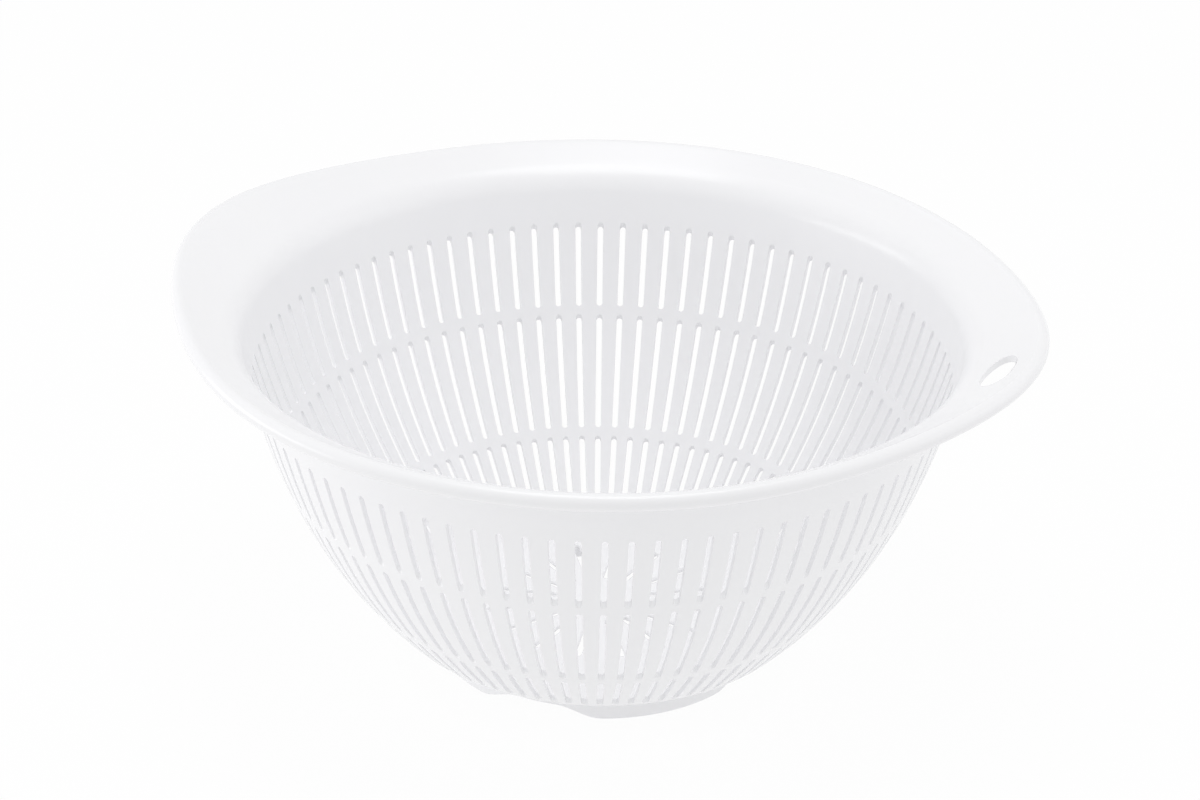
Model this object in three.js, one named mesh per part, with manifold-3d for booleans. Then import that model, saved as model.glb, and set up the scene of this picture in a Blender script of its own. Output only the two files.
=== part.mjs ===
// Colander: a round basket moulded in white polypropylene, drained by three rows of upright slots.
// The wall flares out above the slots into a sloping flange, edged by a thick round bead and drawn out
// into two wing grips, and the floor stands on a foot ring with four arches. The moulding is built in
// zones that meet face to face.
// Millimetres, +Z up. The origin is on the basket's axis at the plane it stands on, wings along X.
import * as THREE from 'three';
import { mergeGeometries, mergeVertices } from 'three/addons/utils/BufferGeometryUtils.js';
import Module from 'manifold-3d';

const wasm = await Module();
wasm.setup();

// Basket wall, measured at the middle of its thickness; a lean is outward travel per unit of height
const WALL = 1.6;
const WALL_BASE_RADIUS = 65.07;
const WALL_BASE_LEAN = 0.98;
const WALL_TOP_RADIUS = 110.03;
const WALL_TOP_LEAN = 0.265;

// Heights, stacked from the table up
const FOOT_HEIGHT = 11.4;
const BEND_HEIGHT = 2.4;
const LOWER_ROW_HEIGHT = 17.8;
const MIDDLE_ROW_HEIGHT = 36.3;
const UPPER_ROW_HEIGHT = 30;

// Drain slots, all on the same meridians
const SLOTS_PER_ROW = 90;
const SLOT_WIDTH = 1.95;
const SLOT_LAND = 0.4;
const SLOT_END_DRAFT = 26;
const FLOOR_SLOTS = 16;
const FLOOR_SLOT_START = 14;
const FLOOR_SLOT_LENGTH = 22;

// Rim: a sloping flange and a round bead that swells outward and upward into a wing at each end of X
const FLANGE_WIDTH = 17.62;
const FLANGE_WALL = 2;
const COLLAR_HEIGHT = 19.6;
const FLARE_HEIGHT = 14.2;
const FLARE_REACH = 5.3;
const BEAD_RADIUS = 2.57;
const WING_REACH = 8.75;
const WING_REACH_ANGLE = 23.25;
const WING_LIFT = 4.85;
const WING_LIFT_ANGLE = 31.8;

// Hanging hole in the wing on +X
const HOLE_LENGTH = 21.2;
const HOLE_WIDTH = 9.8;
const HOLE_EDGE = 7.75;

// Foot ring
const FOOT_RADIUS = 52.4;
const FOOT_WALL = 2;
const FOOT_DRAFT = 0.8;
const ARCHES = 4;
const ARCH_HEIGHT = 4.1;
const ARCH_CREST_ANGLE = 7;
const ARCH_END_ANGLE = 23;

// Colour and finish of the plastic, glossier at the rim than below it
const WHITE = 0xf1f2f3;
const RIM_ROUGHNESS = 0.3;
const BASKET_ROUGHNESS = 0.4;

// Fineness of the facets
const SEGMENTS = SLOTS_PER_ROW;
const FOOT_SEGMENTS = 64;
const UPPER_ROW_STEPS = 2;
const MIDDLE_ROW_STEPS = 2;
const LOWER_ROW_STEPS = 1;
const BEND_STEPS = 2;
const FLARE_STEPS = 2;
const BEAD_SIDES = 6;
const HOLE_POINTS = 20;
const HALVINGS = 50;
const MERGE_DISTANCE = 1e-4;

// Levels where one zone of the moulding meets the next
const FLOOR_LEVEL = FOOT_HEIGHT + WALL;
const BASE_LEVEL = FOOT_HEIGHT + BEND_HEIGHT;
const LOWER_HOOP = BASE_LEVEL + LOWER_ROW_HEIGHT;
const UPPER_HOOP = LOWER_HOOP + MIDDLE_ROW_HEIGHT;
const WALL_TOP = UPPER_HOOP + UPPER_ROW_HEIGHT;
const RIM_HEIGHT = WALL_TOP + COLLAR_HEIGHT;
const RIM_RADIUS = WALL_TOP_RADIUS + FLANGE_WIDTH;

const UP = new THREE.Vector3(0, 0, 1);
const { degToRad, lerp, radToDeg, smoothstep } = THREE.MathUtils;

function wallRadius(z) {
  const rise = WALL_TOP - BASE_LEVEL;
  const t = (z - BASE_LEVEL) / rise;
  const curve = new THREE.CubicBezierCurve(
    new THREE.Vector2(WALL_BASE_RADIUS, 0),
    new THREE.Vector2(WALL_BASE_RADIUS + (WALL_BASE_LEAN * rise) / 3, 1 / 3),
    new THREE.Vector2(WALL_TOP_RADIUS - (WALL_TOP_LEAN * rise) / 3, 2 / 3),
    new THREE.Vector2(WALL_TOP_RADIUS, 1),
  );
  return curve.getPoint(t).x;
}

function wallLean(z) {
  const step = 0.01;
  return (wallRadius(z + step) - wallRadius(z - step)) / (2 * step);
}

// Half the wall's thickness, measured level, at a height
function halfWall(z) {
  return (WALL / 2) * Math.hypot(1, wallLean(z));
}

const insideRadius = (z) => wallRadius(z) - halfWall(z);
const outsideRadius = (z) => wallRadius(z) + halfWall(z);

function meshGeometry(positions, triangles) {
  const geometry = new THREE.BufferGeometry();
  geometry.setAttribute('position', new THREE.Float32BufferAttribute(positions, 3));
  geometry.setIndex(triangles);
  return geometry;
}

// A closed ring: sectionAt(angle) gives a closed outline of Vector2 (radius, height), anticlockwise
function ringGeometry(sectionAt, segments) {
  const positions = [];
  const triangles = [];
  let count = 0;
  for (let i = 0; i < segments; i += 1) {
    const angle = (2 * Math.PI * i) / segments;
    const section = sectionAt(angle);
    count = section.length;
    for (const point of section) {
      positions.push(point.x * Math.cos(angle), point.x * Math.sin(angle), point.y);
    }
  }
  for (let i = 0; i < segments; i += 1) {
    const here = i * count;
    const next = ((i + 1) % segments) * count;
    for (let j = 0; j < count; j += 1) {
      const k = (j + 1) % count;
      // Split from the lower corner, so that two rings sharing a face share its facets
      if (positions[3 * (here + j) + 2] < positions[3 * (here + k) + 2]) {
        triangles.push(here + j, next + j, next + k, here + j, next + k, here + k);
      } else {
        triangles.push(here + j, next + j, here + k, next + j, next + k, here + k);
      }
    }
  }
  return meshGeometry(positions, triangles);
}

function solidFrom(geometry) {
  const bare = geometry.clone();
  bare.deleteAttribute('normal');
  bare.deleteAttribute('uv');
  const merged = mergeVertices(bare, MERGE_DISTANCE);
  const index = merged.index.array;
  const triangles = [];
  for (let i = 0; i < index.length; i += 3) {
    const [a, b, c] = [index[i], index[i + 1], index[i + 2]];
    if (a !== b && b !== c && c !== a) {
      triangles.push(a, b, c);
    }
  }
  const vertProperties = new Float32Array(merged.attributes.position.array);
  const triVerts = new Uint32Array(triangles);
  return new wasm.Manifold(new wasm.Mesh({ numProp: 3, vertProperties, triVerts }));
}

function cut(geometry, cutter) {
  const mesh = solidFrom(geometry).subtract(solidFrom(cutter)).getMesh();
  return meshGeometry([...mesh.vertProperties], [...mesh.triVerts]);
}

// Heights along the side of a slot on one face of the wall. The ends are steep faces, drafted from the
// upright for a mould that draws along Z, so each lies at a different height on the wall's two faces.
function slotHeights(radiusAt, ends, steps) {
  const inward = Math.tan(degToRad(SLOT_END_DRAFT));
  const [start, end] = ends.map(({ radius, height }) => {
    let low = BASE_LEVEL;
    let high = WALL_TOP;
    for (let i = 0; i < HALVINGS; i += 1) {
      const middle = (low + high) / 2;
      if (radiusAt(middle) + inward * (middle - height) < radius) {
        low = middle;
      } else {
        high = middle;
      }
    }
    return low;
  });
  return Array.from({ length: steps + 1 }, (_, k) => lerp(start, end, k / steps));
}

// One row of the basket: a hoop at each end, and a flat rib between each slot and the next
function slottedRow(bottom, top, steps) {
  const positions = [];
  const triangles = [];
  const skins = [outsideRadius, insideRadius];
  const [outside, inside] = skins.keys();
  const ends = [
    { radius: outsideRadius(bottom + SLOT_LAND), height: bottom + SLOT_LAND },
    { radius: insideRadius(top - SLOT_LAND), height: top - SLOT_LAND },
  ];
  // The ribs are chords from one slot's middle to the next, so a slot's sides lie a little inward
  const sideInset = (SLOT_WIDTH / 2) * Math.tan(Math.PI / SLOTS_PER_ROW);

  const [hoopBottom, hoopTop, sides] = [0, 1, 2];
  const left = (k) => sides + k;
  const right = (k) => sides + steps + 1 + k;
  const skinSize = right(steps) + 1;
  const vertex = (slot, skin, item) => {
    return ((slot % SLOTS_PER_ROW) * skins.length + skin) * skinSize + item;
  };
  const facet = (...corners) => {
    for (let k = 2; k < corners.length; k += 1) {
      triangles.push(corners[0], corners[k - 1], corners[k]);
    }
  };

  for (let slot = 0; slot < SLOTS_PER_ROW; slot += 1) {
    const angle = (2 * Math.PI * slot) / SLOTS_PER_ROW;
    const place = (radius, across, z) => {
      const spot = new THREE.Vector3(radius, across, z).applyAxisAngle(UP, angle);
      positions.push(spot.x, spot.y, spot.z);
    };
    for (const radiusAt of skins) {
      place(radiusAt(bottom), 0, bottom);
      place(radiusAt(top), 0, top);
      const heights = slotHeights(radiusAt, ends, steps);
      for (const across of [-SLOT_WIDTH / 2, SLOT_WIDTH / 2]) {
        heights.forEach((z) => place(radiusAt(z) - sideInset, across, z));
      }
    }
  }

  for (let slot = 0; slot < SLOTS_PER_ROW; slot += 1) {
    for (const skin of skins.keys()) {
      const here = (item) => vertex(slot, skin, item);
      const next = (item) => vertex(slot + 1, skin, item);
      const outward = (...corners) => facet(...(skin === outside ? corners : corners.reverse()));
      outward(here(hoopBottom), next(hoopBottom), next(left(0)), here(right(0)));
      outward(here(hoopBottom), here(right(0)), here(left(0)));
      for (let k = 0; k < steps; k += 1) {
        outward(here(right(k)), next(left(k)), next(left(k + 1)), here(right(k + 1)));
      }
      outward(here(right(steps)), next(left(steps)), next(hoopTop), here(hoopTop));
      outward(here(left(steps)), here(right(steps)), here(hoopTop));
    }
    const out = (item) => vertex(slot, outside, item);
    const into = (item) => vertex(slot, inside, item);
    for (let k = 0; k < steps; k += 1) {
      facet(out(right(k)), out(right(k + 1)), into(right(k + 1)), into(right(k)));
      facet(into(left(k)), into(left(k + 1)), out(left(k + 1)), out(left(k)));
    }
    facet(out(left(0)), out(right(0)), into(right(0)), into(left(0)));
    facet(out(left(steps)), into(left(steps)), into(right(steps)), out(right(steps)));
    const nextOut = (item) => vertex(slot + 1, outside, item);
    const nextInto = (item) => vertex(slot + 1, inside, item);
    facet(into(hoopBottom), nextInto(hoopBottom), nextOut(hoopBottom), out(hoopBottom));
    facet(into(hoopTop), out(hoopTop), nextOut(hoopTop), nextInto(hoopTop));
  }
  return meshGeometry(positions, triangles);
}

// From the wall's edge, down its lean and round to the level of the floor
function bendPoints(edgeRadius, level) {
  const drop = BASE_LEVEL - level;
  const corner = edgeRadius - drop * WALL_BASE_LEAN;
  const flat = corner - drop * Math.hypot(1, WALL_BASE_LEAN);
  const bend = new THREE.QuadraticBezierCurve(
    new THREE.Vector2(edgeRadius, BASE_LEVEL),
    new THREE.Vector2(corner, level),
    new THREE.Vector2(flat, level),
  );
  return bend.getPoints(BEND_STEPS);
}

// Upright cores, one for each slot of the floor, in pairs about the wings' axis
function floorCutters() {
  const cores = [];
  for (let i = 0; i < FLOOR_SLOTS; i += 1) {
    const core = new THREE.BoxGeometry(FLOOR_SLOT_LENGTH, SLOT_WIDTH, 3 * WALL);
    core.translate(FLOOR_SLOT_START + FLOOR_SLOT_LENGTH / 2, 0, FOOT_HEIGHT + WALL / 2);
    core.rotateZ((2 * Math.PI * (i + 0.5)) / FLOOR_SLOTS);
    cores.push(core);
  }
  return mergeGeometries(cores);
}

const bendUnder = bendPoints(outsideRadius(BASE_LEVEL), FOOT_HEIGHT);
const bendOver = bendPoints(insideRadius(BASE_LEVEL), FLOOR_LEVEL);

function baseBend() {
  const section = [...bendUnder.toReversed(), ...bendOver];
  return ringGeometry(() => section, SEGMENTS);
}

function floorGrille() {
  const profile = [
    new THREE.Vector2(0, FOOT_HEIGHT),
    bendUnder.at(-1),
    bendOver.at(-1),
    new THREE.Vector2(0, FLOOR_LEVEL),
  ];
  // Turned about the lathe's own axis, then stood up with a meridian on each slot of the wall
  const disc = new THREE.LatheGeometry(profile, SEGMENTS, Math.PI / 2);
  disc.rotateX(Math.PI / 2);
  return cut(disc, floorCutters());
}

// 1 on the axis of the nearer wing, falling away round the rim
function wing(angle, spread) {
  const away = Math.asin(Math.sin(angle));
  return Math.exp(-((away / degToRad(spread)) ** 2));
}

const beadRadiusAt = (angle) => RIM_RADIUS + WING_REACH * wing(angle, WING_REACH_ANGLE);
const beadHeightAt = (angle) => RIM_HEIGHT + WING_LIFT * wing(angle, WING_LIFT_ANGLE);

// The collar's middle line: a flare where the wall turns outward, and a flange that runs straight from it.
// The flange's upper face meets the bead on a tangent, and it ends where its lower face meets the bead.
function collarLine(angle) {
  const wall = new THREE.Vector2(WALL_TOP_LEAN, 1).normalize();
  const corner = new THREE.Vector2(WALL_TOP_RADIUS + WALL_TOP_LEAN * FLARE_HEIGHT, WALL_TOP + FLARE_HEIGHT);
  const bead = new THREE.Vector2(beadRadiusAt(angle), beadHeightAt(angle));
  const span = bead.clone().sub(corner);
  const offset = BEAD_RADIUS - FLANGE_WALL / 2;
  const slope = span.angle() + Math.asin(offset / span.length());
  const along = new THREE.Vector2(Math.cos(slope), Math.sin(slope));
  const root = Math.sqrt(BEAD_RADIUS ** 2 - (BEAD_RADIUS - FLANGE_WALL) ** 2);
  const length = Math.sqrt(span.lengthSq() - offset ** 2) - root;
  const flare = new THREE.QuadraticBezierCurve(
    corner.clone().addScaledVector(wall, -FLARE_REACH),
    corner,
    corner.clone().addScaledVector(along, FLARE_REACH),
  );
  return { bead, slope, along, flare, end: corner.clone().addScaledVector(along, length) };
}

// The two faces of the sheet, lower or outer first, at a point of its middle line
function sheetFaces(point, along, thickness) {
  const across = new THREE.Vector2(along.y, -along.x).multiplyScalar(thickness / 2);
  return [point.clone().add(across), point.clone().sub(across)];
}

function collarSection(angle) {
  const { flare, along, end } = collarLine(angle);
  const wallRadii = [outsideRadius(WALL_TOP), insideRadius(WALL_TOP)];
  const faces = [wallRadii.map((radius) => new THREE.Vector2(radius, WALL_TOP))];
  for (let i = 0; i <= FLARE_STEPS; i += 1) {
    const t = i / FLARE_STEPS;
    faces.push(sheetFaces(flare.getPoint(t), flare.getTangent(t), lerp(WALL, FLANGE_WALL, t)));
  }
  faces.push(sheetFaces(end, along, FLANGE_WALL));
  return [...faces.map(([lower]) => lower), ...faces.map(([, upper]) => upper).reverse()];
}

function beadSection(angle) {
  const { bead, slope, along, end } = collarLine(angle);
  const [lower, upper] = sheetFaces(end, along, FLANGE_WALL);
  const rise = Math.asin((BEAD_RADIUS - FLANGE_WALL) / BEAD_RADIUS);
  const sweep = 1.5 * Math.PI + rise;
  const points = [lower];
  for (let i = 1; i <= BEAD_SIDES; i += 1) {
    const turn = slope + Math.PI - rise + (sweep * i) / BEAD_SIDES;
    points.push(new THREE.Vector2(Math.cos(turn), Math.sin(turn)).multiplyScalar(BEAD_RADIUS).add(bead));
  }
  return [...points, upper];
}

// An oval through the wing, set in from its edge and lying across the wing's axis
function holeCutter() {
  const centre = beadRadiusAt(0) + BEAD_RADIUS - HOLE_EDGE - HOLE_WIDTH / 2;
  const oval = new THREE.Shape();
  oval.absellipse(centre, 0, HOLE_WIDTH / 2, HOLE_LENGTH / 2, 0, 2 * Math.PI);
  const depth = RIM_HEIGHT + WING_LIFT + BEAD_RADIUS - WALL_TOP;
  const settings = { depth, bevelEnabled: false, curveSegments: HOLE_POINTS };
  return new THREE.ExtrudeGeometry(oval, settings).translate(0, 0, WALL_TOP);
}

// Height of the foot's edge over the table: flat on the pads, lifted in the arches
function archLift(angle) {
  const pitch = 360 / ARCHES;
  const turn = radToDeg(angle) % pitch;
  const away = Math.min(turn, pitch - turn);
  return ARCH_HEIGHT * (1 - smoothstep(away, ARCH_CREST_ANGLE, ARCH_END_ANGLE));
}

function footSection(angle) {
  const lift = archLift(angle);
  const spread = (FOOT_DRAFT * lift) / FOOT_HEIGHT;
  return [
    new THREE.Vector2(FOOT_RADIUS - FOOT_WALL + spread, lift),
    new THREE.Vector2(FOOT_RADIUS + spread, lift),
    new THREE.Vector2(FOOT_RADIUS + FOOT_DRAFT, FOOT_HEIGHT),
    new THREE.Vector2(FOOT_RADIUS - FOOT_WALL + FOOT_DRAFT, FOOT_HEIGHT),
  ];
}

// White polypropylene with a soft gloss
function whitePlastic(roughness) {
  return new THREE.MeshStandardMaterial({ color: WHITE, roughness, metalness: 0 });
}

function zone(name, geometry, roughness) {
  geometry.computeVertexNormals();
  const mesh = new THREE.Mesh(geometry, whitePlastic(roughness));
  mesh.name = name;
  return mesh;
}

const rim = new THREE.Group();
rim.add(zone('rim_bead', ringGeometry(beadSection, SEGMENTS), RIM_ROUGHNESS));
rim.add(zone('rim_collar', cut(ringGeometry(collarSection, SEGMENTS), holeCutter()), RIM_ROUGHNESS));

const basket = new THREE.Group();
basket.add(zone('upper_slot_row', slottedRow(UPPER_HOOP, WALL_TOP, UPPER_ROW_STEPS), BASKET_ROUGHNESS));
basket.add(zone('middle_slot_row', slottedRow(LOWER_HOOP, UPPER_HOOP, MIDDLE_ROW_STEPS), BASKET_ROUGHNESS));
basket.add(zone('lower_slot_row', slottedRow(BASE_LEVEL, LOWER_HOOP, LOWER_ROW_STEPS), BASKET_ROUGHNESS));
basket.add(zone('base_bend', baseBend(), BASKET_ROUGHNESS));
basket.add(zone('floor_grille', floorGrille(), BASKET_ROUGHNESS));
basket.add(zone('foot_ring', ringGeometry(footSection, FOOT_SEGMENTS), BASKET_ROUGHNESS));

const colander = new THREE.Group();
colander.add(rim, basket);

export default colander;
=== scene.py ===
import math

import bpy
import numpy as np
from mathutils import Matrix, Vector


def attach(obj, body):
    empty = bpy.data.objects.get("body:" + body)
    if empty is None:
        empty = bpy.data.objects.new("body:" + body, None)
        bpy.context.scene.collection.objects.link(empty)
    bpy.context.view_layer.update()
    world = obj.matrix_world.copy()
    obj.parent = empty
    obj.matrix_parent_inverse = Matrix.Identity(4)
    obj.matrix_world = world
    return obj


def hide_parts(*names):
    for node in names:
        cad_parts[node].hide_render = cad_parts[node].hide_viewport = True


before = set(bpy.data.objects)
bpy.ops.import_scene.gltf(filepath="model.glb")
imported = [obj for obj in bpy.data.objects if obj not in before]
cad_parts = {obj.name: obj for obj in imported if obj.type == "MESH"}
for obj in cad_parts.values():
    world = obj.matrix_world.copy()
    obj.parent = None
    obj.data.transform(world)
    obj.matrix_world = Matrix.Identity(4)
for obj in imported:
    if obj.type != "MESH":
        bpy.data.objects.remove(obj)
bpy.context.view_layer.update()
scene = bpy.context.scene
MM = 0.001

# The moulding's sizes, in millimetres, as in the solids
WALL = 1.6
WALL_BASE_RADIUS = 65.07
WALL_BASE_LEAN = 0.98
WALL_TOP_RADIUS = 110.03
WALL_TOP_LEAN = 0.265
FOOT_HEIGHT = 11.4
BEND_HEIGHT = 2.4
LOWER_ROW_HEIGHT = 17.8
MIDDLE_ROW_HEIGHT = 36.3
UPPER_ROW_HEIGHT = 30.0
SLOTS_PER_ROW = 90
SLOT_WIDTH = 1.95
SLOT_LAND = 0.4
SLOT_END_DRAFT = math.radians(26)
FLOOR_SLOTS = 16
FLOOR_SLOT_PHASE = 0.5
FLOOR_SLOT_START = 14.0
FLOOR_SLOT_LENGTH = 22.0
FLANGE_WIDTH = 17.62
FLANGE_WALL = 2.0
COLLAR_HEIGHT = 19.6
FLARE_HEIGHT = 14.2
FLARE_REACH = 5.3
BEAD_RADIUS = 2.57
WING_REACH = 8.75
WING_REACH_ANGLE = math.radians(23.25)
WING_LIFT = 4.85
WING_LIFT_ANGLE = math.radians(31.8)
HOLE_LENGTH = 21.2
HOLE_WIDTH = 9.8
HOLE_EDGE = 7.75
FOOT_RADIUS = 52.4
FOOT_WALL = 2.0
FOOT_DRAFT = 0.8
ARCHES = 4
ARCH_HEIGHT = 4.1
ARCH_CREST_ANGLE = 7.0
ARCH_END_ANGLE = 23.0

# Levels where one zone of the moulding meets the next, and places that follow from the sizes
FLOOR_LEVEL = FOOT_HEIGHT + WALL
BASE_LEVEL = FOOT_HEIGHT + BEND_HEIGHT
LOWER_HOOP = BASE_LEVEL + LOWER_ROW_HEIGHT
UPPER_HOOP = LOWER_HOOP + MIDDLE_ROW_HEIGHT
WALL_TOP = UPPER_HOOP + UPPER_ROW_HEIGHT
RIM_RADIUS = WALL_TOP_RADIUS + FLANGE_WIDTH
RIM_HEIGHT = WALL_TOP + COLLAR_HEIGHT
FLOOR_SLOT_END = FLOOR_SLOT_START + FLOOR_SLOT_LENGTH

# Rounded edges and fillets, in millimetres
EDGE_ROUND = 0.1
FLOOR_SLOT_ROUND = 0.7
BEAD_FILLET = 1.0
FOOT_ROUND = 0.5
FOOT_FILLET = 1.0

# Fineness of the meshes
SLOT_END_TURNS = [math.radians(turn) for turn in range(-90, 91, 30)]
RIB_COLUMNS = 3
UPPER_ROW_STEPS = 8
MIDDLE_ROW_STEPS = 10
LOWER_ROW_STEPS = 6
FLOOR_SLOT_STEPS = 5
FLOOR_RINGS = 3
RIM_COLUMNS = 240
FOOT_COLUMNS = 240
FOOT_ARC_STEPS = 4
BEND_COLUMNS = 270
BEND_STEPS = 8
WALL_STEPS = 4
FLARE_STEPS = 12
FLANGE_STEPS = 12
BEAD_STEPS = 26
FILLET_STEPS = 6
HOLE_COLUMNS = 6
HOLE_ROWS = (WALL_STEPS + FLARE_STEPS + 1, WALL_STEPS + FLARE_STEPS + FLANGE_STEPS - 1)
HOLE_RINGS = 6
ROUND_SEGMENTS = 2
HALVINGS = 50

# Camera, as measured on the photograph's 1200 by 800 frame
FRAME_WIDTH = 1200
FRAME_HEIGHT = 800
FOCAL_PIXELS = 3440.46
AIM_PIXEL = (602.741, 363.024)
AIM = Vector((0, 0, 0.0978))
CAMERA_DISTANCE = 1.0746
CAMERA_ELEVATION = math.radians(26.21)
CAMERA_HEADING = math.radians(-68.84)
CAMERA_ROLL = math.radians(1.04)
SENSOR = 36.0


def make_camera():
    level = math.cos(CAMERA_ELEVATION)
    away = Vector((
        level * math.cos(CAMERA_HEADING),
        level * math.sin(CAMERA_HEADING),
        math.sin(CAMERA_ELEVATION),
    ))
    data = bpy.data.cameras.new("camera")
    data.sensor_fit = "HORIZONTAL"
    data.sensor_width = SENSOR
    data.lens = SENSOR * FOCAL_PIXELS / FRAME_WIDTH
    data.shift_x = (FRAME_WIDTH / 2 - AIM_PIXEL[0]) / FRAME_WIDTH
    data.shift_y = (AIM_PIXEL[1] - FRAME_HEIGHT / 2) / FRAME_WIDTH
    camera = bpy.data.objects.new("camera", data)
    scene.collection.objects.link(camera)
    turn = away.to_track_quat("Z", "Y").to_matrix().to_4x4()
    roll = Matrix.Rotation(CAMERA_ROLL, 4, "Z")
    camera.matrix_world = Matrix.Translation(AIM + away * CAMERA_DISTANCE) @ turn @ roll
    scene.camera = camera


class Shell:
    """Vertices and faces of one piece, with the edges that get rounded and the edges that stay sharp."""

    def __init__(self):
        self.points = []
        self.faces = []
        self.rounded = []
        self.sharp = []

    def polar(self, radius, angle, z):
        self.points.append((radius * math.cos(angle) * MM, radius * math.sin(angle) * MM, z * MM))
        return len(self.points) - 1

    def mark(self, mesh, name, kind, edges):
        lookup = {tuple(sorted(edge.vertices)): edge.index for edge in mesh.edges}
        values = np.zeros(len(mesh.edges), np.float32 if kind == "FLOAT" else bool)
        values[[lookup[tuple(sorted(edge))] for edge in edges]] = 1
        mesh.attributes.new(name, kind, "EDGE").data.foreach_set("value", values)

    def build(self, name, material, edge_round=EDGE_ROUND):
        mesh = bpy.data.meshes.new(name)
        mesh.from_pydata(self.points, [], self.faces)
        mesh.update()
        mesh.polygons.foreach_set("use_smooth", [True] * len(mesh.polygons))
        mesh.materials.append(material)
        self.mark(mesh, "sharp_edge", "BOOLEAN", self.sharp)
        piece = bpy.data.objects.new(name, mesh)
        scene.collection.objects.link(piece)
        if self.rounded:
            self.mark(mesh, "bevel_weight_edge", "FLOAT", self.rounded)
            bevel = piece.modifiers.new("round", "BEVEL")
            bevel.limit_method = "WEIGHT"
            bevel.width = edge_round * MM
            bevel.segments = ROUND_SEGMENTS
        normals = piece.modifiers.new("normals", "WEIGHTED_NORMAL")
        normals.keep_sharp = True
        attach(piece, "root")
        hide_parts(name)


def ring_piece(name, columns, section_at, sharp, material):
    """A closed ring. section_at(angle) gives a closed anticlockwise outline of (radius, height)."""
    shell = Shell()
    rows = []
    for c in range(columns):
        angle = 2 * math.pi * c / columns
        rows.append([shell.polar(r, angle, z) for r, z in section_at(angle)])
    for here, there in zip(rows, rows[1:] + rows[:1]):
        for k in range(len(here)):
            m = (k + 1) % len(here)
            shell.faces.append((here[k], there[k], there[m], here[m]))
        shell.sharp += [(here[k], there[k]) for k in sharp]
    shell.build(name, material)


def arc(centre, radius, start, stop, steps):
    """Points of an arc, in degrees, from start to stop."""
    turns = np.radians(np.linspace(start, stop, steps + 1))
    return [(centre[0] + radius * math.cos(t), centre[1] + radius * math.sin(t)) for t in turns]


# The basket's wall
def wall_radius(z):
    rise = WALL_TOP - BASE_LEVEL
    t = (z - BASE_LEVEL) / rise
    a, d = WALL_BASE_RADIUS, WALL_TOP_RADIUS
    b = a + WALL_BASE_LEAN * rise / 3
    c = d - WALL_TOP_LEAN * rise / 3
    return a * (1 - t) ** 3 + 3 * b * t * (1 - t) ** 2 + 3 * c * t * t * (1 - t) + d * t ** 3


def half_wall(z, step=0.01):
    lean = (wall_radius(z + step) - wall_radius(z - step)) / (2 * step)
    return WALL / 2 * math.hypot(1, lean)


def outside_radius(z):
    return wall_radius(z) + half_wall(z)


def inside_radius(z):
    return wall_radius(z) - half_wall(z)


def slot_end(radius_at, radius, height):
    """Height at which a slot's drafted end, passing through a point, meets one face of the wall."""
    low, high = BASE_LEVEL, WALL_TOP
    for _ in range(HALVINGS):
        middle = (low + high) / 2
        if radius_at(middle) + math.tan(SLOT_END_DRAFT) * (middle - height) < radius:
            low = middle
        else:
            high = middle
    return low


# Slots
def slot_columns(radius, count):
    """Angle from a slot's middle, and pull of the slot's round end, for each column of one pitch."""
    pitch = 2 * math.pi / count
    half = min(math.asin(min(SLOT_WIDTH / 2 / radius, 1)), pitch / RIB_COLUMNS)
    columns = [(half * math.sin(t), SLOT_WIDTH / 2 * (1 - math.cos(t))) for t in SLOT_END_TURNS]
    rib = pitch - 2 * half
    return columns + [(half + rib * k / RIB_COLUMNS, 0) for k in range(1, RIB_COLUMNS)]


def skin_grid(shell, skin, start, end, count, phase):
    """Vertices of one face of the wall, by level and column."""
    grid = []
    for level, (radius, z) in enumerate(skin):
        toward = skin[level + 1] if level == start else skin[level - 1]
        gap = math.dist((radius, z), toward)
        row = []
        for slot in range(count):
            middle = 2 * math.pi * (slot + phase) / count
            for offset, pull in slot_columns(radius, count):
                share = pull / gap if level in (start, end) else 0
                r = radius + (toward[0] - radius) * share
                h = z + (toward[1] - z) * share
                row.append(shell.polar(r, middle + offset, h))
        grid.append(row)
    return grid


def slotted_shell(shell, outer, inner, start, end, count, open_start, phase=0):
    """Two faces of revolution, as (radius, height) at matching levels, with slots from level start to end.

    The phase is the first slot's place round from +X, in pitches.
    """
    out = skin_grid(shell, outer, start, end, count, phase)
    into = skin_grid(shell, inner, start, end, count, phase)
    side = len(SLOT_END_TURNS) - 1
    pitch = side + RIB_COLUMNS
    total = pitch * count
    top = len(outer) - 1
    for c in range(total):
        n = (c + 1) % total
        in_slot = c % pitch < side
        for level in range(top):
            if in_slot and start <= level < end:
                continue
            shell.faces.append((out[level][c], out[level][n], out[level + 1][n], out[level + 1][c]))
            shell.faces.append((into[level][n], into[level][c], into[level + 1][c], into[level + 1][n]))
        if in_slot:
            shell.faces.append((out[start][n], into[start][n], into[start][c], out[start][c]))
            shell.faces.append((out[end][c], into[end][c], into[end][n], out[end][n]))
            for skin in (out, into):
                shell.rounded += [(skin[start][c], skin[start][n]), (skin[end][c], skin[end][n])]
        if c % pitch in (0, side):
            for level in range(start, end):
                face = (out[level][c], out[level + 1][c], into[level + 1][c], into[level][c])
                shell.faces.append(face if c % pitch == side else face[::-1])
                for skin in (out, into):
                    shell.rounded.append((skin[level][c], skin[level + 1][c]))
        for level in [0, top] if open_start else [top]:
            face = (into[level][c], into[level][n], out[level][n], out[level][c])
            shell.faces.append(face if level == 0 else face[::-1])
            shell.sharp += [(out[level][c], out[level][n]), (into[level][c], into[level][n])]
    return out, into


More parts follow.
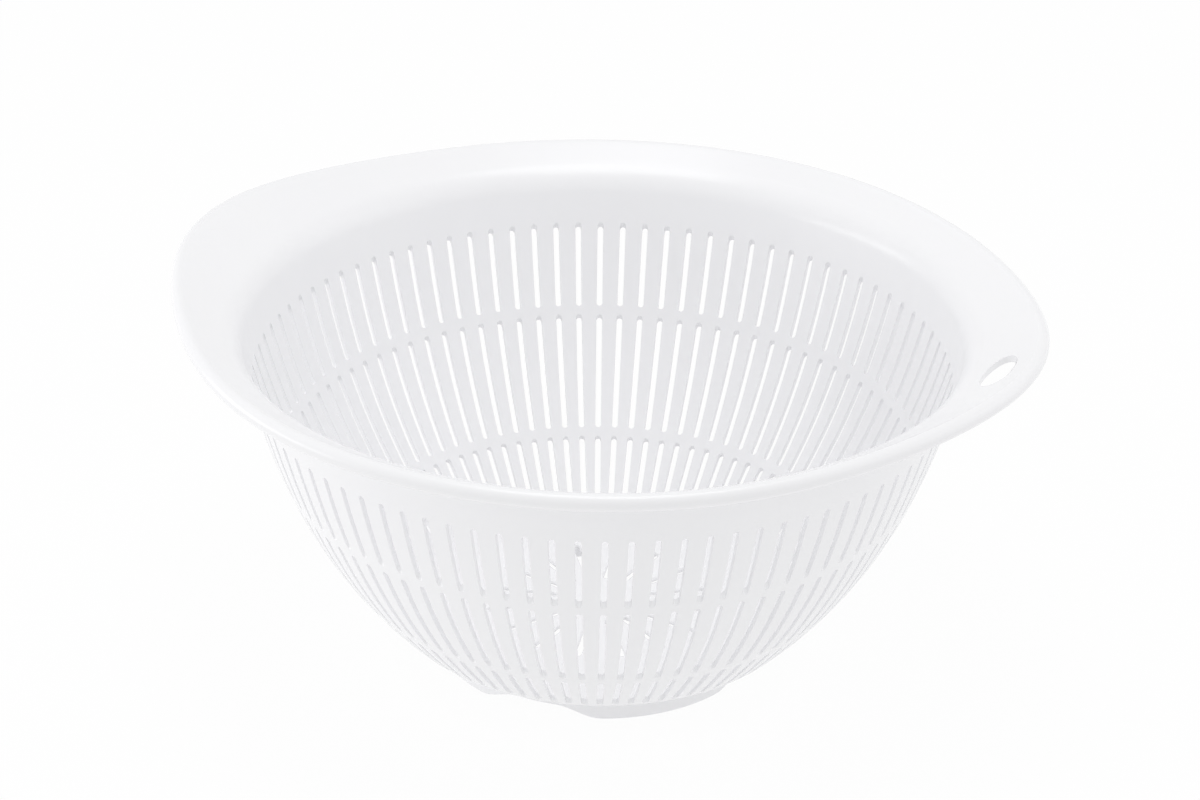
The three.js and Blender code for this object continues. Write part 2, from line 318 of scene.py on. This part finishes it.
def slotted_row(name, bottom, top, steps, material):
    """One row of the wall, from hoop to hoop, with slots whose ends are drafted."""
    low, high = bottom + SLOT_LAND, top - SLOT_LAND
    skins = []
    for radius_at in (outside_radius, inside_radius):
        start = slot_end(radius_at, outside_radius(low), low)
        end = slot_end(radius_at, inside_radius(high), high)
        heights = [bottom, *np.linspace(start, end, steps + 1), top]
        skins.append([(radius_at(z), z) for z in heights])
    shell = Shell()
    slotted_shell(shell, *skins, 1, steps + 1, SLOTS_PER_ROW, True)
    shell.build(name, material)


# The bend from the wall to the floor, and the floor
def bend_points(edge, level):
    """From the flat of the floor out and up to the wall's edge."""
    drop = BASE_LEVEL - level
    corner = edge - drop * WALL_BASE_LEAN
    flat = corner - drop * math.hypot(1, WALL_BASE_LEAN)
    points = []
    for t in np.linspace(0, 1, BEND_STEPS + 1):
        r = flat * (1 - t) ** 2 + 2 * corner * t * (1 - t) + edge * t * t
        points.append((r, level + drop * t * t))
    return points


UNDER_BEND = bend_points(outside_radius(BASE_LEVEL), FOOT_HEIGHT)
OVER_BEND = bend_points(inside_radius(BASE_LEVEL), FLOOR_LEVEL)


def base_bend(material):
    section = UNDER_BEND + OVER_BEND[::-1]
    corners = (0, BEND_STEPS, BEND_STEPS + 1, 2 * BEND_STEPS + 1)
    ring_piece("base_bend", BEND_COLUMNS, lambda angle: section, corners, material)


def floor_grille(material):
    middle = np.linspace(0, FLOOR_SLOT_START, FLOOR_RINGS + 2)[1:-1]
    slots = np.linspace(FLOOR_SLOT_START, FLOOR_SLOT_END, FLOOR_SLOT_STEPS + 1)
    skins = []
    for edge, level in (UNDER_BEND[0], OVER_BEND[0]):
        border = np.linspace(FLOOR_SLOT_END, edge, FLOOR_RINGS + 1)[1:]
        skins.append([(r, level) for r in (*middle, *slots, *border)])
    shell = Shell()
    last = FLOOR_RINGS + FLOOR_SLOT_STEPS
    grids = slotted_shell(shell, *skins, FLOOR_RINGS, last, FLOOR_SLOTS, False, FLOOR_SLOT_PHASE)
    for grid, level in zip(grids, (FOOT_HEIGHT, FLOOR_LEVEL)):
        centre = shell.polar(0, 0, level)
        for here, there in zip(grid[0], grid[0][1:] + grid[0][:1]):
            face = (centre, here, there)
            shell.faces.append(face if level == FLOOR_LEVEL else face[::-1])
    shell.build("floor_grille", material, FLOOR_SLOT_ROUND)


# The rim
def wing(angle, spread):
    """1 on the axis of the nearer wing, falling away round the rim."""
    return math.exp(-(math.asin(math.sin(angle)) / spread) ** 2)


def bead_at(angle):
    return np.array([
        RIM_RADIUS + WING_REACH * wing(angle, WING_REACH_ANGLE),
        RIM_HEIGHT + WING_LIFT * wing(angle, WING_LIFT_ANGLE),
    ])


CORNER = np.array([WALL_TOP_RADIUS + WALL_TOP_LEAN * FLARE_HEIGHT, WALL_TOP + FLARE_HEIGHT])
FILLET_DROP = BEAD_RADIUS - FLANGE_WALL - BEAD_FILLET
FILLET_SPAN = math.sqrt((BEAD_RADIUS + BEAD_FILLET) ** 2 - FILLET_DROP ** 2)


def flange_line(angle):
    """The flange's direction from the corner, and its length to where the bead's fillet begins."""
    span = bead_at(angle) - CORNER
    offset = BEAD_RADIUS - FLANGE_WALL / 2
    slope = math.atan2(span[1], span[0]) + math.asin(offset / np.linalg.norm(span))
    length = math.sqrt(span @ span - offset ** 2) - FILLET_SPAN
    return np.array([math.cos(slope), math.sin(slope)]), length


def collar_skins(angle):
    """Lower and upper faces of the collar, from the wall to the bead's fillet."""
    along, length = flange_line(angle)
    wall = np.array([WALL_TOP_LEAN, 1]) / math.hypot(WALL_TOP_LEAN, 1)
    bottom = np.array([WALL_TOP_RADIUS, WALL_TOP])
    start = CORNER - wall * FLARE_REACH
    stop = CORNER + along * FLARE_REACH
    stations = [(bottom + (start - bottom) * k / WALL_STEPS, wall, WALL) for k in range(WALL_STEPS)]
    for k in range(FLARE_STEPS):
        t = k / FLARE_STEPS
        point = start * (1 - t) ** 2 + 2 * CORNER * t * (1 - t) + stop * t * t
        heading = (CORNER - start) * (1 - t) + (stop - CORNER) * t
        stations.append((point, heading / np.linalg.norm(heading), WALL + (FLANGE_WALL - WALL) * t))
    for reach in np.linspace(FLARE_REACH, length, FLANGE_STEPS + 1):
        stations.append((CORNER + along * reach, along, FLANGE_WALL))
    lower = [(outside_radius(WALL_TOP), WALL_TOP)]
    upper = [(inside_radius(WALL_TOP), WALL_TOP)]
    for point, heading, thickness in stations[1:]:
        across = np.array([heading[1], -heading[0]]) * thickness / 2
        lower.append(tuple(point + across))
        upper.append(tuple(point - across))
    return lower, upper


def flange_height(x, y, side):
    """Height of the flange's upper face (side 1) or lower face (side -1) over a place in plan."""
    along, _ = flange_line(math.atan2(y, x))
    return CORNER[1] + ((math.hypot(x, y) - CORNER[0]) * along[1] + side * FLANGE_WALL / 2) / along[0]


def hole_rings(shell, borders, side):
    """Rings of vertices from the border of a patch of the flange to the oval hole."""
    plan = np.array([shell.points[v][:2] for v in borders]) / MM
    centre = bead_at(0)[0] + BEAD_RADIUS - HOLE_EDGE - HOLE_WIDTH / 2
    turns = np.arctan2(plan[:, 1] / HOLE_LENGTH, (plan[:, 0] - centre) / HOLE_WIDTH)
    oval = np.stack([centre + HOLE_WIDTH / 2 * np.cos(turns), HOLE_LENGTH / 2 * np.sin(turns)], 1)
    rings = [borders]
    for ring in range(1, HOLE_RINGS + 1):
        share = ring / HOLE_RINGS
        row = []
        for x, y in plan * (1 - share) + oval * share:
            row.append(shell.polar(math.hypot(x, y), math.atan2(y, x), flange_height(x, y, side)))
        rings.append(row)
    return rings


def hanging_hole(shell, out, into):
    """Fills the patch that was left open in the flange, round the oval hole."""
    first, past = HOLE_ROWS
    columns = list(range(-HOLE_COLUMNS, HOLE_COLUMNS + 1))
    loop = [(c, first) for c in columns[:-1]] + [(HOLE_COLUMNS, k) for k in range(first, past)]
    loop += [(c, past) for c in columns[:0:-1]] + [(-HOLE_COLUMNS, k) for k in range(past, first, -1)]
    lower = hole_rings(shell, [out[c][k] for c, k in loop], -1)
    upper = hole_rings(shell, [into[c][k] for c, k in loop], 1)
    for i in range(len(loop)):
        j = (i + 1) % len(loop)
        for near, far in zip(lower, lower[1:]):
            shell.faces.append((near[i], near[j], far[j], far[i]))
        for near, far in zip(upper, upper[1:]):
            shell.faces.append((near[j], near[i], far[i], far[j]))
        shell.faces.append((lower[-1][i], lower[-1][j], upper[-1][j], upper[-1][i]))
        shell.rounded += [(lower[-1][i], lower[-1][j]), (upper[-1][i], upper[-1][j])]


def rim_collar(material):
    shell = Shell()
    out, into = [], []
    for c in range(RIM_COLUMNS):
        angle = 2 * math.pi * c / RIM_COLUMNS
        lower, upper = collar_skins(angle)
        out.append([shell.polar(r, angle, z) for r, z in lower])
        into.append([shell.polar(r, angle, z) for r, z in upper])
    top = len(out[0]) - 1
    first, past = HOLE_ROWS
    for c in range(RIM_COLUMNS):
        n = (c + 1) % RIM_COLUMNS
        by_hole = c < HOLE_COLUMNS or c >= RIM_COLUMNS - HOLE_COLUMNS
        for k in range(top):
            if by_hole and first <= k < past:
                continue
            shell.faces.append((out[c][k], out[n][k], out[n][k + 1], out[c][k + 1]))
            shell.faces.append((into[n][k], into[c][k], into[c][k + 1], into[n][k + 1]))
        for k in (0, top):
            face = (into[c][k], into[n][k], out[n][k], out[c][k])
            shell.faces.append(face if k == 0 else face[::-1])
            shell.sharp += [(out[c][k], out[n][k]), (into[c][k], into[n][k])]
    hanging_hole(shell, out, into)
    shell.build("rim_collar", material)


def bead_section(angle):
    """Outline of the bead in the rim's plane: a fillet under the flange, then round to its upper face."""
    touch = math.degrees(math.atan2(-FILLET_DROP, FILLET_SPAN))
    fillet = arc((-FILLET_SPAN, FILLET_DROP), BEAD_FILLET, 90, touch, FILLET_STEPS)
    round_edge = arc((0, 0), BEAD_RADIUS, 180 + touch, 450, BEAD_STEPS)
    outline = fillet + round_edge[1:] + [(-FILLET_SPAN / 2, BEAD_RADIUS), (-FILLET_SPAN, BEAD_RADIUS)]
    along, _ = flange_line(angle)
    up = np.array([-along[1], along[0]])
    bead = bead_at(angle)
    return [tuple(bead + along * u + up * n) for u, n in outline]


def rim_bead(material):
    ring_piece("rim_bead", RIM_COLUMNS, bead_section, (0, -1), material)


# The foot
def arch_lift(angle):
    """Height of the foot's lower edge above the table."""
    pitch = 360 / ARCHES
    turn = math.degrees(angle) % pitch
    away = min(turn, pitch - turn)
    x = min(max((away - ARCH_CREST_ANGLE) / (ARCH_END_ANGLE - ARCH_CREST_ANGLE), 0), 1)
    return ARCH_HEIGHT * (1 - x * x * (3 - 2 * x))


def foot_section(angle):
    lift = arch_lift(angle)
    outer = FOOT_RADIUS + FOOT_DRAFT * lift / FOOT_HEIGHT
    outer_top = FOOT_RADIUS + FOOT_DRAFT
    floor = FOOT_HEIGHT - FOOT_FILLET
    edge = lift + FOOT_ROUND
    return [
        *arc((outer - FOOT_WALL + FOOT_ROUND, edge), FOOT_ROUND, 180, 270, FOOT_ARC_STEPS),
        *arc((outer - FOOT_ROUND, edge), FOOT_ROUND, 270, 360, FOOT_ARC_STEPS),
        *arc((outer_top + FOOT_FILLET, floor), FOOT_FILLET, 180, 90, FOOT_ARC_STEPS),
        *arc((outer_top - FOOT_WALL - FOOT_FILLET, floor), FOOT_FILLET, 90, 0, FOOT_ARC_STEPS),
    ]


def foot_ring(material):
    first_inside = 3 * (FOOT_ARC_STEPS + 1)
    ring_piece("foot_ring", FOOT_COLUMNS, foot_section, (first_inside - 1, first_inside), material)


# White polypropylene: a faint mottle, a soft gloss and a fine grain from the mould
REFRACTION = 1.49
MOTTLE_SCALE = 22
MOTTLE_DETAIL = 3
MOTTLE_DULL = (0.895, 0.895, 0.91, 1)
MOTTLE_BRIGHT = (0.915, 0.915, 0.928, 1)
GLOSS_SCALE = 160
GLOSS_DETAIL = 4
ROUGHNESS_LEAST = 0.2
ROUGHNESS_MOST = 0.28
GRAIN_SCALE = 900
GRAIN_DETAIL = 2
GRAIN_STRENGTH = 0.06
GRAIN_DEPTH = 0.0001


def plastic():
    material = bpy.data.materials.new("white_plastic")
    material.use_nodes = True
    nodes, links = material.node_tree.nodes, material.node_tree.links
    shader = nodes["Principled BSDF"]
    shader.inputs["IOR"].default_value = REFRACTION
    place = nodes.new("ShaderNodeTexCoord")

    def noise(scale, detail):
        node = nodes.new("ShaderNodeTexNoise")
        node.inputs["Scale"].default_value = scale
        node.inputs["Detail"].default_value = detail
        links.new(place.outputs["Object"], node.inputs["Vector"])
        return node.outputs["Fac"]

    tint = nodes.new("ShaderNodeMix")
    tint.data_type = "RGBA"
    tint.inputs["A"].default_value = MOTTLE_DULL
    tint.inputs["B"].default_value = MOTTLE_BRIGHT
    links.new(noise(MOTTLE_SCALE, MOTTLE_DETAIL), tint.inputs["Factor"])
    links.new(tint.outputs["Result"], shader.inputs["Base Color"])

    gloss = nodes.new("ShaderNodeMapRange")
    gloss.inputs["To Min"].default_value = ROUGHNESS_LEAST
    gloss.inputs["To Max"].default_value = ROUGHNESS_MOST
    links.new(noise(GLOSS_SCALE, GLOSS_DETAIL), gloss.inputs["Value"])
    links.new(gloss.outputs["Result"], shader.inputs["Roughness"])

    bump = nodes.new("ShaderNodeBump")
    bump.inputs["Strength"].default_value = GRAIN_STRENGTH
    bump.inputs["Distance"].default_value = GRAIN_DEPTH
    links.new(noise(GRAIN_SCALE, GRAIN_DETAIL), bump.inputs["Height"])
    links.new(bump.outputs["Normal"], shader.inputs["Normal"])
    return material


# Floor and light, in metres and watts. The floor gives light of its own besides what it reflects, about as
# much in all as white paper, so that it isn't dark under the basket. Seen directly it is nearly white.
WHITE = (1, 1, 1, 1)
FLOOR_RADIUS = 6.0
FLOOR_SIDES = 64
FLOOR_DROP = 0.0001
FLOOR_GREY = 0.45
FLOOR_ROUGHNESS = 0.9
FLOOR_LIGHT = 0.48
FLOOR_GLOW = 0.9
WORLD_LIGHT = 0.76
LIGHT_BOUNCES = 24
LAMP_AIM = Vector((0, 0, 0.06))


def seen_directly(nodes, links):
    """1 for rays from the camera, and for those that it sees by reflection or through glass."""
    path = nodes.new("ShaderNodeLightPath")
    total = path.outputs["Is Camera Ray"]
    for name in ("Is Glossy Ray", "Is Transmission Ray"):
        either = nodes.new("ShaderNodeMath")
        either.operation = "MAXIMUM"
        links.new(total, either.inputs[0])
        links.new(path.outputs[name], either.inputs[1])
        total = either.outputs[0]
    return total


def make_floor():
    turns = [2 * math.pi * k / FLOOR_SIDES for k in range(FLOOR_SIDES)]
    mesh = bpy.data.meshes.new("floor")
    ring = [(FLOOR_RADIUS * math.cos(t), FLOOR_RADIUS * math.sin(t), 0) for t in turns]
    mesh.from_pydata(ring, [], [tuple(range(FLOOR_SIDES))])
    paper = bpy.data.materials.new("floor")
    paper.use_nodes = True
    nodes, links = paper.node_tree.nodes, paper.node_tree.links
    shader = nodes["Principled BSDF"]
    shader.inputs["Base Color"].default_value = (FLOOR_GREY, FLOOR_GREY, FLOOR_GREY, 1)
    shader.inputs["Roughness"].default_value = FLOOR_ROUGHNESS
    shader.inputs["Emission Color"].default_value = WHITE
    shader.inputs["Emission Strength"].default_value = FLOOR_LIGHT
    glow = nodes.new("ShaderNodeEmission")
    share = nodes.new("ShaderNodeMath")
    share.operation = "MULTIPLY"
    share.inputs[1].default_value = FLOOR_GLOW
    links.new(seen_directly(nodes, links), share.inputs[0])
    mix = nodes.new("ShaderNodeMixShader")
    links.new(share.outputs[0], mix.inputs["Fac"])
    links.new(shader.outputs["BSDF"], mix.inputs[1])
    links.new(glow.outputs["Emission"], mix.inputs[2])
    links.new(mix.outputs["Shader"], nodes["Material Output"].inputs["Surface"])
    mesh.materials.append(paper)
    floor = bpy.data.objects.new("floor", mesh)
    floor.location = (0, 0, -FLOOR_DROP)
    scene.collection.objects.link(floor)


def make_world():
    world = bpy.data.worlds.new("studio")
    scene.world = world
    world.use_nodes = True
    background = world.node_tree.nodes["Background"]
    background.inputs["Color"].default_value = WHITE
    background.inputs["Strength"].default_value = WORLD_LIGHT


def lamp(name, right, front, height, size, power):
    """A soft lamp, placed from the basket as the camera sees it and turned towards the basket."""
    data = bpy.data.lights.new(name, "AREA")
    data.shape = "RECTANGLE"
    data.size, data.size_y = size
    data.energy = power
    item = bpy.data.objects.new(name, data)
    scene.collection.objects.link(item)
    place = Matrix.Rotation(CAMERA_HEADING, 3, "Z") @ Vector((front, right, height))
    item.location = place
    item.rotation_euler = (place - LAMP_AIM).to_track_quat("Z", "Y").to_euler()


make_camera()
white = plastic()
slotted_row("upper_slot_row", UPPER_HOOP, WALL_TOP, UPPER_ROW_STEPS, white)
slotted_row("middle_slot_row", LOWER_HOOP, UPPER_HOOP, MIDDLE_ROW_STEPS, white)
slotted_row("lower_slot_row", BASE_LEVEL, LOWER_HOOP, LOWER_ROW_STEPS, white)
base_bend(white)
floor_grille(white)
rim_collar(white)
rim_bead(white)
foot_ring(white)
make_floor()
make_world()
lamp("key", right=0.0, front=0.0, height=1.3, size=(0.7, 0.7), power=3.7)
lamp("left", right=-1.2, front=0.0, height=0.22, size=(1.0, 0.4), power=2.9)
lamp("right", right=1.2, front=0.0, height=0.5, size=(1.0, 1.0), power=1.2)

scene.view_settings.view_transform = "Standard"
scene.cycles.max_bounces = LIGHT_BOUNCES
scene.cycles.diffuse_bounces = LIGHT_BOUNCES
